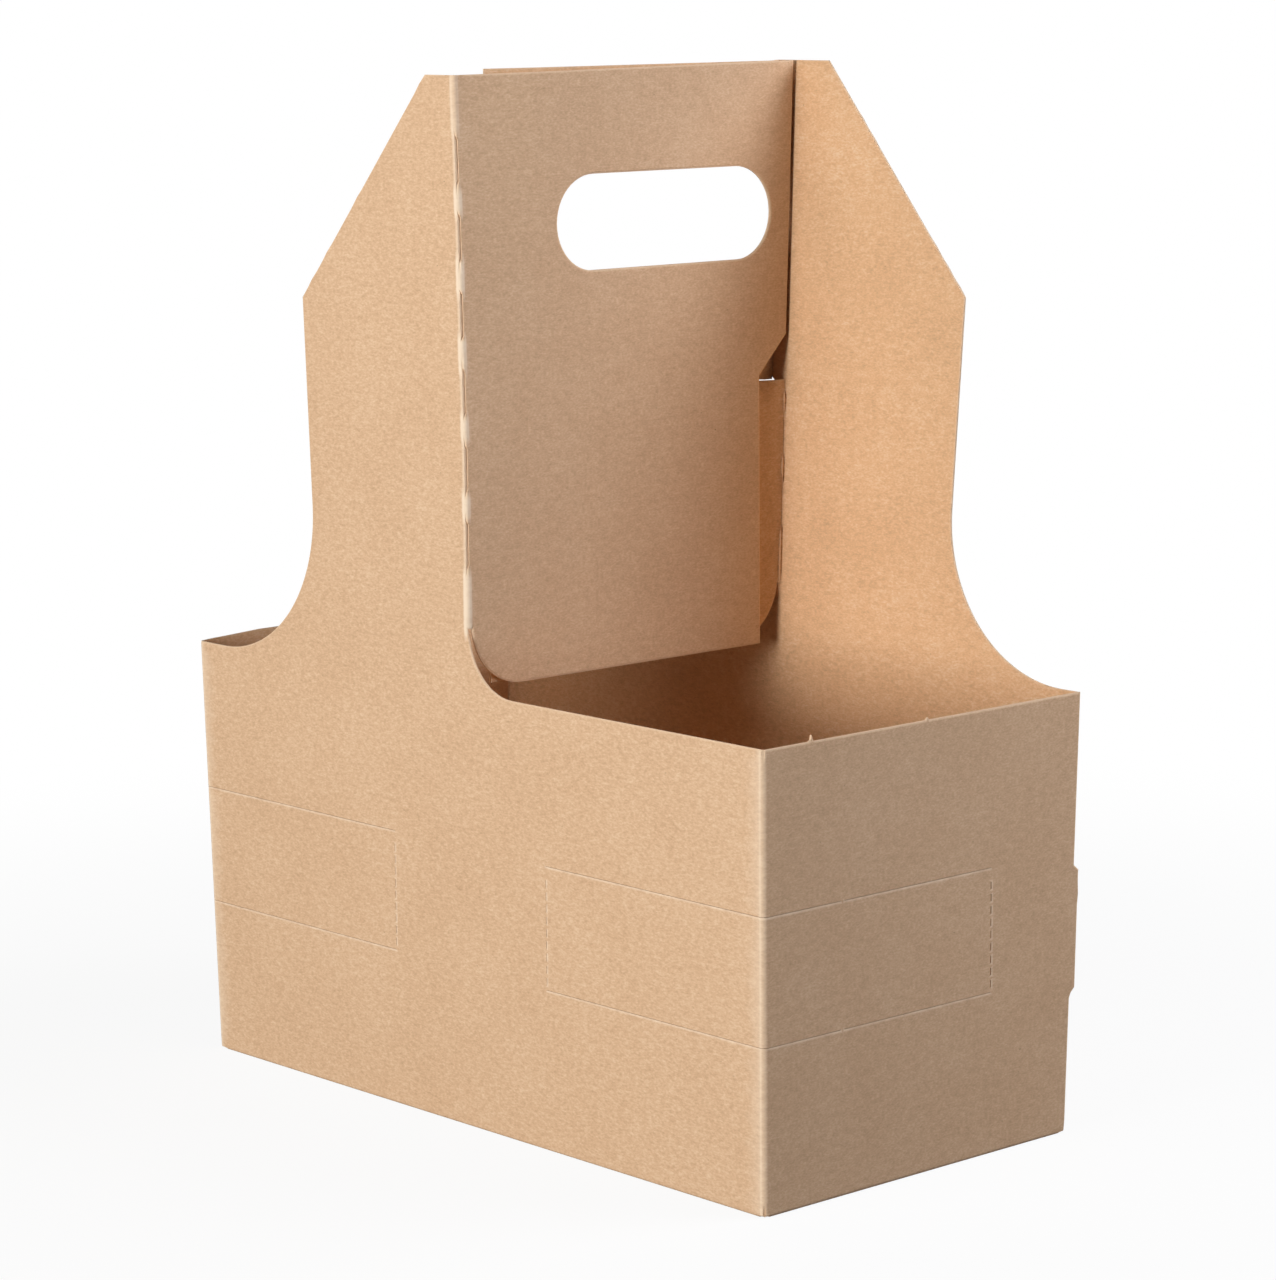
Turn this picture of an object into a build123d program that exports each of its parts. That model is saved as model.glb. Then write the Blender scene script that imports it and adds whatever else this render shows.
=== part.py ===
from build123d import *
import os
from math import cos, radians, tan

# Take-away carrier for two cups, folded from one die-cut sheet of kraft board.
# X runs along the wide walls, Y through the depth, Z up, with the base centred on the origin.
# Half of the front wall (-Y) and half of the back wall (+Y) rise into risers. The rest of each
# rising strip is folded inwards at a perforated crease, and the two folded panels lie back to
# back as divider and handle. The glued seam joins the back wall to the right wall (+X).

# Board and its creases
board = 0.7
crease_radius = 1.2
base_crease = 0.9

# Box, measured outside at the base; the back and left walls lean out towards the rim
box_width = 193.6
box_depth = 95.0
rim_height = 101.6
back_lean = 2.33
left_lean = 2.9

# Risers, measured from the middle of the box
front_height = 240.0
back_height = 241.2
riser_top = 11.4
shoulder_height = 188.0
shoulder_flare = 3.7
foot_radius = 36.0
rim_straight = 6.8
throat_radius = 14.5

# Perforated creases of the handle panels
cut_length = 11.0
cut_width = 1.6
cut_count = 6
front_cut_start = 129.8
front_cut_pitch = 17.2
back_cut_start = 117.5
back_cut_pitch = 20.0

# Handle panels
panel_gap = 0.3
panel_foot = 102.3
edge_clearance = 0.5
front_panel_reach = 44.0
notch_low = 167.0
notch_high = 176.4
back_panel_reach = 40.0
slit_height = 165.2
slit_width = 0.8
slit_length = 7.6

# Hand hole, from the middle of the box towards the back
hole_length = 67.0
hole_width = 22.0
hole_across = 13.9
hole_height = 205.9

# Push-in corner bands that steady narrow cups
band_low = 37.3
band_high = 65.6
band_length = 70.0
band_slit = 0.3
band_nick = 1.0
nick_place = 23.5
dash_length = 1.6
dash_pitch = 2.8

# Glued seam and the small tab on the cut edge beside it
glue_width = 15.0
glue_margin = 5.0
glue_taper = 6.0
tab_reach = 1.8
tab_low = 30.6
tab_high = 62.0
tab_slope = 3.6

# Crash-lock base: two wide flaps that hook over each other, two end flaps above them
flap_gap = 0.6
flap_relief = 1.0
hook_shift = 5.0
hook_start = 8.0
hook_run = 5.0
tongue_length = 34.0
tongue_width = 22.0
tongue_radius = 4.0
tongue_place = 30.0
end_flap_depth = 44.0
end_flap_root = 88.0
end_flap_tip = 58.0
end_flap_radius = 5.0

half_width = box_width / 2
half_depth = box_depth / 2
riser_foot = half_width - rim_straight - foot_radius
riser_shoulder = riser_foot + shoulder_flare
inside_crease = crease_radius - board
fold_line = panel_gap / 2 + board
cut_clearance = 0.1
back_slope = tan(radians(back_lean))
left_slope = tan(radians(left_lean))
slant = 1 / cos(radians(back_lean))


# Outer face of the leaning walls at a height
def back_at(height):
    return half_depth + height * back_slope


def left_at(height):
    return -half_width - height * left_slope


# Block bounded by the four walls, with each wall moved inwards by the inset
def wall_block(inset, low, high):
    with BuildPart() as block:
        with BuildSketch(Plane.XZ):
            with BuildLine():
                Polyline(
                    (left_at(low) + inset, low),
                    (half_width - inset, low),
                    (half_width - inset, high),
                    (left_at(high) + inset, high),
                    close=True,
                )
            make_face()
        extrude(amount=box_depth, both=True)
        with BuildSketch(Plane.YZ):
            with BuildLine():
                Polyline(
                    (inset - half_depth, low),
                    (back_at(low) - inset, low),
                    (back_at(high) - inset, high),
                    (inset - half_depth, high),
                    close=True,
                )
            make_face()
        extrude(amount=box_width, both=True, mode=Mode.INTERSECT)
    return block.part


# Wall planes: local x runs along the wall, local y up it, and the normal points outwards.
# Seen from outside, each riser stands on the negative side of local x.
front_wall = Plane(origin=(0, -half_depth, 0), x_dir=(1, 0, 0), z_dir=(0, -1, 0))
back_wall = Plane(origin=(0, half_depth, 0), x_dir=(-1, 0, 0), z_dir=(0, 1, -back_slope))

# Inside of the box
with BuildPart() as cavity:
    add(wall_block(board, board, 2 * rim_height))
    upright = cavity.edges().filter_by(Plane.XY, reverse=True)
    fillet(upright, inside_crease)

with BuildPart() as carrier:

    # Four walls and floor, with creased corners except at the glued seam
    add(wall_block(0, 0, rim_height))
    upright = carrier.edges().filter_by(Plane.XY, reverse=True)
    seam_edge = upright.sort_by(Axis.X)[-2:].sort_by(Axis.Y)[-1]
    fillet([edge for edge in upright if edge != seam_edge], crease_radius)
    fillet(carrier.faces().sort_by(Axis.Z)[0].edges(), base_crease)
    add(cavity.part, mode=Mode.SUBTRACT)

    # Risers, each with its concave foot on the outer side and a small throat at the fold
    throat_top = rim_height + throat_radius
    for wall, top, stretch in (
        (front_wall, front_height, 1.0),
        (back_wall, back_height, slant),
    ):
        with BuildSketch(wall):
            rim = rim_height * stretch
            with BuildLine():
                Polyline(
                    (crease_radius - half_width, rim - foot_radius),
                    (crease_radius - half_width, rim),
                    (-riser_foot, rim),
                    (-riser_shoulder, shoulder_height * stretch),
                    (-riser_top, top * stretch),
                    (fold_line, top * stretch),
                    (fold_line, rim),
                    (fold_line + 2 * throat_radius, rim),
                    (fold_line + 2 * throat_radius, rim - foot_radius),
                    close=True,
                )
            make_face()
            fillet(vertices().group_by(Axis.Y)[1].sort_by(Axis.X)[1], foot_radius)
            fillet(vertices().group_by(Axis.Y)[1].sort_by(Axis.X)[-2], throat_radius)
            with Locations((fold_line - crease_radius, throat_top)):
                Rectangle(2 * crease_radius, top, align=Align.MIN, mode=Mode.SUBTRACT)
        extrude(amount=-board)

    # Handle panel folded in from the front wall, notched to clear the back wall's fold
    with BuildSketch(Plane(origin=(fold_line, 0, 0), x_dir=(0, 1, 0), z_dir=(1, 0, 0))):
        root = crease_radius - half_depth
        reach = -board * slant - edge_clearance
        with BuildLine():
            Polyline(
                (root, front_height),
                (back_at(back_height) + reach, back_height),
                (back_at(notch_high) + reach, notch_high),
                (front_panel_reach, notch_low),
                (front_panel_reach, panel_foot),
                (root, panel_foot),
                close=True,
            )
        make_face()
        fillet(vertices().group_by(Axis.Y)[0].sort_by(Axis.X)[0], throat_radius)
    extrude(amount=-board)

    # Handle panel folded in from the back wall
    with BuildSketch(Plane(origin=(-fold_line, 0, 0), x_dir=(0, -1, 0), z_dir=(-1, 0, 0))):
        root = crease_radius * slant
        with BuildLine():
            Polyline(
                (root - back_at(back_height), back_height),
                (back_panel_reach, back_height),
                (back_panel_reach, panel_foot + board),
                (root - back_at(panel_foot + board), panel_foot + board),
                close=True,
            )
        make_face()
        fillet(vertices().group_by(Axis.Y)[0].sort_by(Axis.X)[0], throat_radius)
        with Locations((board * slant - back_at(slit_height), slit_height)):
            Rectangle(slit_length, slit_width, align=Align.MIN, mode=Mode.SUBTRACT)
    extrude(amount=-board)

    # Bent board along both perforated creases, then the cuts through it
    for wall, top, start, pitch in (
        (front_wall, front_height, front_cut_start, front_cut_pitch),
        (back_wall, back_height * slant, back_cut_start, back_cut_pitch),
    ):
        foot = wall.from_local_coords((0, throat_top, 0))
        across = Plane(origin=foot, x_dir=wall.x_dir, z_dir=wall.y_dir)
        with BuildSketch(across):
            with Locations((fold_line - crease_radius, crease_radius)):
                Circle(crease_radius)
                Circle(inside_crease, mode=Mode.SUBTRACT)
                corner = (Align.MIN, Align.MAX)
                Rectangle(crease_radius, crease_radius, align=corner, mode=Mode.INTERSECT)
        extrude(amount=top - throat_top)
        with BuildSketch(wall):
            for cut in range(cut_count):
                with Locations((fold_line - cut_width, start + cut * pitch)):
                    Rectangle(cut_width + cut_clearance, cut_length, align=Align.MIN)
        extrude(amount=-board - cut_clearance, mode=Mode.SUBTRACT)

    # Hand hole through both panels
    with BuildSketch(Plane.YZ):
        with Locations((hole_across, hole_height)):
            SlotOverall(hole_length, hole_width)
    extrude(amount=2 * fold_line, both=True, mode=Mode.SUBTRACT)

    # Glue flap of the back wall, inside the right wall, and the tab on the right wall's edge
    glue_low = glue_margin + board
    glue_high = rim_height - glue_margin
    with BuildSketch(Plane.YZ.offset(half_width - board)):
        with BuildLine():
            Polyline(
                (back_at(glue_low) - board, glue_low),
                (back_at(glue_low) - glue_width, glue_low + glue_taper),
                (back_at(glue_high) - glue_width, glue_high - glue_taper),
                (back_at(glue_high) - board, glue_high),
                close=True,
            )
        make_face()
    extrude(amount=-board)
    with BuildSketch(Plane.YZ.offset(half_width)):
        with BuildLine():
            Polyline(
                (back_at(tab_low), tab_low),
                (back_at(tab_low) + tab_reach, tab_low + tab_slope),
                (back_at(tab_high) + tab_reach, tab_high - tab_slope),
                (back_at(tab_high), tab_high),
                (back_at(tab_high) - tab_reach, tab_high),
                (back_at(tab_low) - tab_reach, tab_low),
                close=True,
            )
        make_face()
    extrude(amount=-board)

    # Corner bands: two slits round each front corner, held by nicks and dashed creases
    band_end = half_width - band_length
    band_back = band_length - half_depth
    side_reach = half_width + rim_height * left_slope
    for height in (band_low, band_high):
        for side in (-1, 1):
            with BuildSketch(Plane.XY.offset(height)):
                with Locations((side * (band_end + side_reach) / 2, -half_depth)):
                    Rectangle(
                        side_reach - band_end,
                        2 * (nick_place - band_nick / 2),
                    )
                with Locations((side * side_reach, nick_place + band_nick / 2 - half_depth)):
                    Rectangle(
                        2 * (side_reach - half_width + 2 * board),
                        band_back + half_depth - nick_place - band_nick / 2,
                        align=(Align.CENTER, Align.MIN),
                    )
            extrude(amount=band_slit, mode=Mode.SUBTRACT)
    dashes = int((band_high - band_low) / dash_pitch)
    dash_heights = [band_low + (place + 0.7) * dash_pitch for place in range(dashes)]
    with Locations(*[(side * band_end, -half_depth, z) for side in (-1, 1) for z in dash_heights]):
        Box(band_slit, 4 * board, dash_length, mode=Mode.SUBTRACT)
    with Locations(*[(half_width, band_back, z) for z in dash_heights]):
        Box(4 * board, band_slit, dash_length, mode=Mode.SUBTRACT)
    with Locations(*[(left_at(z), band_back, z) for z in dash_heights]):
        Box(4 * board, band_slit, dash_length, mode=Mode.SUBTRACT)

    # Base: the floor is slit into two wide flaps with a stepped joint and cleared at both ends
    with BuildSketch(Plane.XY):
        inner = half_width - board
        with BuildLine():
            Polyline(
                (-inner, hook_shift),
                (hook_start, hook_shift),
                (hook_start + hook_run, -hook_shift),
                (inner, -hook_shift),
                (inner, -hook_shift - flap_gap),
                (hook_start + hook_run - flap_gap, -hook_shift - flap_gap),
                (hook_start - flap_gap, hook_shift - flap_gap),
                (-inner, hook_shift - flap_gap),
                close=True,
            )
        make_face()
        for side in (-1, 1):
            with Locations((side * (inner - flap_relief / 2), 0)):
                Rectangle(flap_relief, box_depth - 4 * crease_radius)
    extrude(amount=board, mode=Mode.SUBTRACT)

    # End flaps on top of the wide flaps, and the two tongues that lock across the joint
    with BuildSketch(Plane.XY.offset(board)):
        for side in (-1, 1):
            root = side * (half_width - board / 2)
            tip = side * (inner - end_flap_depth)
            with BuildLine():
                Polyline(
                    (root, -end_flap_root / 2),
                    (tip, -end_flap_tip / 2),
                    (tip, end_flap_tip / 2),
                    (root, end_flap_root / 2),
                    close=True,
                )
            make_face()
        tips = vertices().group_by(lambda corner: round(abs(corner.X), 3))[0]
        fillet(tips, end_flap_radius)
        for side in (-1, 1):
            with Locations((side * tongue_place, -side * hook_shift)):
                RectangleRounded(tongue_length, tongue_width, tongue_radius)
    extrude(amount=board)

carrier.part.label = "carrier"

os.makedirs("parts", exist_ok=True)
export_step(carrier.part, "parts/carrier.step")
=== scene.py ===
from math import cos, pi, radians, sin, tan

import bpy
import numpy as np
from mathutils import Matrix
from mathutils.geometry import delaunay_2d_cdt


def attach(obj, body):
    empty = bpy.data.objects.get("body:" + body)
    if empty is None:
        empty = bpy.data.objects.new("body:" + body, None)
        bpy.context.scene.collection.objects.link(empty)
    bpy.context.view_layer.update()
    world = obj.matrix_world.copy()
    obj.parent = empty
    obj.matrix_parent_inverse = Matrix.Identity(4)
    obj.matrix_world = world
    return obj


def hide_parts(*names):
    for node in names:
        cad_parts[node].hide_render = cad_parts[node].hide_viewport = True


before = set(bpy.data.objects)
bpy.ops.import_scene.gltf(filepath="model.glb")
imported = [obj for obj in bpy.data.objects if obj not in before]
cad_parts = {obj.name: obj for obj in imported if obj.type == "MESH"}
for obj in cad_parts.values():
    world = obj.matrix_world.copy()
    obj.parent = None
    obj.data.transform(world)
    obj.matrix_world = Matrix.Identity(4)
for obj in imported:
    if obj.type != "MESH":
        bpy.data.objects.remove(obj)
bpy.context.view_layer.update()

# Sizes of the die-cut blank in millimetres. x runs along the wide walls, y through the depth, z up.
blank = {
    "board": 0.7,  # thickness
    "crease": 1.2,  # bend radius of the upright corners
    "baseCrease": 0.75,
    "width": 193.6,
    "depth": 95.0,
    "rim": 101.6,
    "backLean": 2.33,  # degrees
    "leftLean": 2.9,
    "leftFoot": 0.8,  # the left wall's foot stands out, and its rim is higher away from the front corner
    "leftRise": 0.9,
    "leftRiseRun": (18.0, 20.0),  # length of that slope on the left and on the back wall
    "frontTop": 240.0,
    "backTop": 241.2,
    "spacing": 3.4,  # of the mesh's grid and along its cut edges
    "edgeStep": 3.0,
    "edgeWorn": 0.45,  # width and depth of the worn rim of a cut edge
    "edgeBevel": 0.16,
    "innerBevel": 0.6,  # of the outer one
    "gridClear": 0.6,  # of the spacing, between the grid and the lines
    "sharp": 17.0,  # degrees between faces that are shaded apart
}

halfWidth = blank["width"] / 2
halfDepth = blank["depth"] / 2
board = blank["board"]
bend = blank["crease"]
baseBend = blank["baseCrease"]
rim = blank["rim"]
tiny = 0.01
narrow = 0.5  # an opening narrower than this is a slit
wideHole = 3.0  # an opening wider than this has a worn rim
wallSide = 0.2  # what lies less far past an upright fold moves with the wall
backSlope = tan(radians(blank["backLean"]))
leftSlope = tan(radians(blank["leftLean"]))


def backAt(z):
    return halfDepth + z * backSlope


def leftAt(z):
    return -halfWidth - blank["leftFoot"] - z * (leftSlope - blank["leftFoot"] / rim)


def smooth(low, high, value):
    # eased step: 3t^2 - 2t^3 with t the place between low and high
    t = np.clip((value - low) / (high - low), 0, 1)
    return t * t * (3 - 2 * t)


def rounded(corners):
    # Closed outline from (u, v, radius) corners: each radius becomes an arc that touches both sides
    corners = np.array(corners, float)
    out = []
    for k, (u, v, radius) in enumerate(corners):
        here = np.array((u, v))
        if radius == 0:
            out.append(here[None])
            continue
        back = corners[k - 1, :2] - here
        ahead = corners[(k + 1) % len(corners), :2] - here
        back, ahead = back / np.linalg.norm(back), ahead / np.linalg.norm(ahead)
        half = np.arccos(np.clip(back @ ahead, -1, 1)) / 2
        middle = here + (back + ahead) / np.linalg.norm(back + ahead) * radius / sin(half)
        first = here + back * radius / tan(half) - middle
        last = here + ahead * radius / tan(half) - middle
        turn = np.arctan2(first[0] * last[1] - first[1] * last[0], first @ last)
        steps = max(5, int(abs(turn) * radius / 1.2))
        angle = np.arctan2(first[1], first[0]) + np.linspace(0, turn, steps + 1)
        out.append(middle + radius * np.stack([np.cos(angle), np.sin(angle)], 1))
    return np.concatenate(out)


def divided(line, step, closed=True):
    # The same line with a point at least every step along it
    ends = np.roll(line, -1, 0) if closed else line[1:]
    starts = line if closed else line[:-1]
    parts = [
        a + (b - a) * np.linspace(0, 1, max(1, int(np.ceil(np.linalg.norm(b - a) / step))) + 1)[:-1, None]
        for a, b in zip(starts, ends)
        if np.linalg.norm(b - a) > 1e-6
    ]
    return np.concatenate(parts if closed else parts + [line[-1:]])


def inside(loop, points):
    # Even-odd test of many points against one closed line
    a, b = loop, np.roll(loop, -1, 0)
    x, y = points[:, :1], points[:, 1:]
    crosses = (a[:, 1] > y) != (b[:, 1] > y)
    rise = np.where(b[:, 1] == a[:, 1], 1e-12, b[:, 1] - a[:, 1])
    return (crosses & (x < (b[:, 0] - a[:, 0]) * (y - a[:, 1]) / rise + a[:, 0])).sum(1) % 2 == 1


def offsetLine(line, gap):
    # The closed line moved inwards by gap: every point goes along the half angle of its two sides
    ahead = np.roll(line, -1, 0) - line
    gap = gap * np.sign((line[:, 0] * ahead[:, 1] - ahead[:, 0] * line[:, 1]).sum())
    ahead /= np.linalg.norm(ahead, axis=1)[:, None]
    normal = np.stack([-ahead[:, 1], ahead[:, 0]], 1)
    both = normal + np.roll(normal, 1, 0)
    return line + gap * both / np.maximum((both * normal).sum(1), 0.5)[:, None]


def cutPanel(outline, holes, creases):
    # Triangles of one panel of the blank: every cut and crease is kept as a line, and a staggered grid
    # of rows fills in, clear of the lines
    outline = divided(outline, blank["edgeStep"])
    lines = [(outline, True), (offsetLine(outline, blank["edgeWorn"]), True)]
    for hole in holes:
        line = divided(hole, blank["edgeStep"])
        lines.append((line, True))
        if np.ptp(line, 0).min() > wideHole:
            lines.append((offsetLine(line, -blank["edgeWorn"]), True))
    lines += [(divided(crease, blank["edgeStep"], False), False) for crease in creases]
    spacing = blank["spacing"]
    low, high = outline.min(0), outline.max(0)
    rows = np.arange(low[1], high[1], spacing * 0.87)  # the height of an even-sided triangle
    columns = np.arange(low[0], high[0], spacing)
    u, v = np.meshgrid(columns, rows)
    u[1::2] += spacing / 2
    grid = np.stack([u.ravel(), v.ravel()], 1)
    taken = np.concatenate([line for line, closed in lines])
    clear = np.ones(len(grid), bool)
    for part in np.array_split(np.arange(len(grid)), 1 + len(grid) // 400):
        gap = np.linalg.norm(grid[part, None] - taken[None], axis=2).min(1)
        clear[part] = gap > spacing * blank["gridClear"]
    points, edges, count = [], [], 0
    for line, closed in lines:
        index = np.arange(count, count + len(line))
        edges.append(np.stack([index, np.roll(index, -1)], 1)[: None if closed else -1])
        points.append(line)
        count += len(line)
    points.append(grid[clear & inside(outline, grid)])
    made = delaunay_2d_cdt(np.concatenate(points).tolist(), np.concatenate(edges).tolist(), [], 0, 1e-5)
    flat = np.array([tuple(point) for point in made[0]])
    faces = np.array(made[2])
    middle = flat[faces].mean(1)
    keep = inside(outline, middle)
    for hole in holes:
        keep &= ~inside(hole, middle)
    return flat, faces[keep]


def box(u0, v0, u1, v1):
    return np.array([(u0, v0), (u1, v0), (u1, v1), (u0, v1)], float)


def stadium(u, v, length, width):
    half, radius = (length - width) / 2, width / 2
    angle = np.linspace(-pi / 2, pi / 2, 25)
    right = np.stack([u + half + radius * np.cos(angle), v + radius * np.sin(angle)], 1)
    left = np.stack([u - half - radius * np.cos(angle), v - radius * np.sin(angle)], 1)
    return np.concatenate([right, left])


riser = {
    "top": 11.4,
    "shoulder": 57.7,
    "shoulderHeight": 188.0,
    "foot": 54.0,
    "footRadius": 36.0,
    "throat": 14.5,  # radius of the cut that frees the panel's foot
    "throatLap": 1.1,  # the back wall runs on past the fold, behind the panel's rounded corner
    "throatReach": 0.2,
    "throatRun": 14.0,  # how far that reaches along the wall and up to the rim
    "throatEnd": (4.0, 7.0),  # it fades out over these heights below the throat's top
    "fold": 0.85,  # the upright crease's distance from the middle
    "foldRadius": 1.5,
    "cutFrom": -0.25,
    "cutTo": 0.78,
    "cutTip": 0.9,
    "cutLength": 11.0,
    "cutEase": (-0.1, 0.7),  # a cut opens over this run from its end
    "frontCuts": 129.8 + 17.2 * np.arange(6),
    "backCuts": 129.8 + 17.2 * np.arange(6),
    "slitCut": 162.2,  # the back cut that the slit runs into starts here instead
    "bead": 0.6,  # ridge inside and bulge outside the bridges between the cuts
    "bulge": 0.3,
    "lean": 2.3,
    "leanRuns": ((0.42, 150, 200), (0.58, 195, 245)),  # share of the lean, and the heights that it comes over
    "leanEnd": -20.0,  # the y where it has faded out
}
foldBend = riser["foldRadius"]
fold = riser["fold"]
throatTop = rim + riser["throat"]
creaseCuts = {"front": riser["frontCuts"], "back": np.append(riser["backCuts"], riser["slitCut"])}

# The two panels folded inwards: the divider and the handle
divider = {
    "foot": 0.7,  # above the rim
    "frontReach": 44.0,
    "notchLow": 167.0,
    "notchHigh": 176.4,
    "edgeGap": 1.1,
    "backReach": (-40.0, -38.0),  # at the foot and at the top
    "handHeight": 205.9,
    "handWidth": 22.0,
    "handFront": (14.2, 67.0),  # middle and length
    "handBack": (15.0, 69.0),
    "slitHeight": 165.6,
    "slitEnd": 8.3,
    "slitGap": 0.45,
    "fineColumns": np.arange(2.9, 9.1, 0.75),
}
# The back panel is pushed back above its slit, and hangs a little over it
setBack = {
    "by": 4.5,
    "droop": 0.72,
    "start": 4.0,  # past the fold: from here to the slit's end the sharp step becomes an eased one
    "rise": 8.0,  # height of the eased step above and below the slit
    "wall": (3.1, 0.3),  # the wall's edge follows between these distances below the slit
    "fade": ((6.0, 26.0), (1.0, 8.2)),  # where it fades out over the panel: above the slit, beside the hand hole
    "hole": (176.0, 192.0),  # heights over which the first fade becomes the second
}
panelFoot = rim + divider["foot"]

band = {
    "low": 37.3,
    "high": 65.7,
    "reach": 70.0,
    "slitFront": 0.1,
    "slitSide": 0.15,
    "halo": 0.6,  # width of the painted highlight beside a slit
    "nick": 23.5,
    "nickWidth": 1.0,
    "dash": 1.7,
    "pitch": 2.8,
    "dashFront": 0.12,
    "dashSide": 0.34,
    # strength of the painted highlight beside the slits, on the front wall and on the end walls
    "lipFront": 0.75,
    "lipSide": 1.0,
}
levels = [band["low"], band["high"]]
dashes = np.arange(band["low"] + 0.7 * band["pitch"], band["high"] - band["dash"], band["pitch"])


def slits(start, end, width):
    # Level slits between two places along a wall
    return [box(start, z - width / 2, end, z + width / 2) for z in levels]


def dashLine(u, width):
    return [box(u - width / 2, z - band["dash"] / 2, u + width / 2, z + band["dash"] / 2) for z in dashes]


def halos(holes):
    # A line round each slit, where the painted highlight beside it ends
    grow = band["halo"]
    return [box(*(hole.min(0) - grow), *(hole.max(0) + grow))[[0, 1, 2, 3, 0]] for hole in holes]


bendSteps = np.array([0.25, 0.5, 0.75, 1.0, 1.3])  # of the crease's radius
footSteps = np.array([-1.5, -1.0, -0.67, -0.33, 0, 0.33, 0.67, 1.0, 1.5])
foldSteps = np.array([-1.5, -1, -0.8, -0.6, -0.4, -0.2, 0, 0.2, 0.4, 0.6, 0.8, 1, 1.5])


def columnsAt(u, low, high, side):
    # Crease lines beside a corner, on one side of it
    return [np.array([(u(z) + side * step * bend, z) for z in (low, high)]) for step in bendSteps]


def rowsAt(start, end):
    # Crease lines along the foot of a wall
    return [np.array([(start, step), (end, step)]) for step in footSteps * baseBend]


def foldColumns(u, low, high, side):
    # Crease lines on both sides of an upright fold
    return [np.array([(u + side * step, low), (u + side * step, high)]) for step in foldSteps * foldBend]


def foldCuts(u, side, starts):
    # Cuts along an upright crease, pointed at both ends, wider on the panel's side by the thickness of the wall
    near, far, tip = u + side * riser["cutFrom"], u + side * riser["cutTo"], riser["cutTip"]
    ends = [(z, z + riser["cutLength"]) for z in starts]
    return [
        np.array([(u, low), (far, low + tip), (far, high - tip), (u, high), (near, high - tip), (near, low + tip)])
        for low, high in ends
    ]


flaps = {
    "side": 95.2,
    "hook": 5.0,
    "hookStart": 8.0,
    "hookRun": 5.0,
    "gap": 0.15,
    "endDepth": 44.0,
    "endRoot": 46.2,
    "endTip": 29.0,
    "endCorner": 5.0,
    "rise": 3.2,  # run over which an end flap climbs onto the base
    "tonguePlace": 30.0,
    "tongueHalf": (17.0, 11.0),
    "tongueCorner": 4.0,
    "seamReach": 15.0,
    "seamFoot": 5.0,
    "seamTaper": 11.0,
}


def frontBlank():
    # Front wall with its riser, divider panel and hooked base flap: u is x, v runs up the sheet
    low, hook, side, gap = -halfDepth, flaps["hook"], flaps["side"], flaps["gap"]
    start = flaps["hookStart"] - gap
    reach, level = divider["frontReach"], divider["notchHigh"]
    inward = lambda y: fold + y + halfDepth
    edgeAt = lambda z: inward(backAt(z) - board - divider["edgeGap"])
    corners = [
        (leftAt(0), 0, 0), (-side, 0, 0),
        (-side, low - (hook - gap), 0), (start, low - (hook - gap), 0),
        (start + flaps["hookRun"], low + hook + gap, 0), (side, low + hook + gap, 0), (side, 0, 0),
        (halfWidth, 0, 0), (halfWidth, rim, 0),
        (fold, rim, riser["throat"]), (fold, throatTop, 0), (fold + foldBend, throatTop, 0),
        (fold + foldBend, panelFoot, riser["throat"]),
        (inward(reach), panelFoot, 0), (inward(reach), divider["notchLow"], 0),
        (edgeAt(level), level, 0), (edgeAt(blank["backTop"]), blank["backTop"], 0),
        (fold + foldBend, blank["frontTop"], 0),
        (-riser["top"], blank["frontTop"], 0), (-riser["shoulder"], riser["shoulderHeight"], 0),
        (-riser["foot"], rim, riser["footRadius"]), (leftAt(rim), rim, 0),
    ]
    cuts = foldCuts(fold, 1, riser["frontCuts"])
    middle, length = divider["handFront"]
    hand = [stadium(inward(middle), divider["handHeight"], length, divider["handWidth"])]
    end, beyond = halfWidth - band["reach"], halfWidth + 9  # the slits run past both corners
    lips = slits(end, halfWidth + 1, band["slitFront"]) + slits(-beyond, -end, band["slitFront"])
    lips += dashLine(end, band["dashFront"]) + dashLine(-end, band["dashFront"])
    creases = columnsAt(lambda z: halfWidth, 0, rim, -1) + columnsAt(leftAt, 0, rim, 1) + rowsAt(-side, side)
    creases += foldColumns(fold, throatTop - 3, blank["frontTop"], 1)
    return rounded(corners), cuts + hand + lips, creases + halos(lips)


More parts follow.
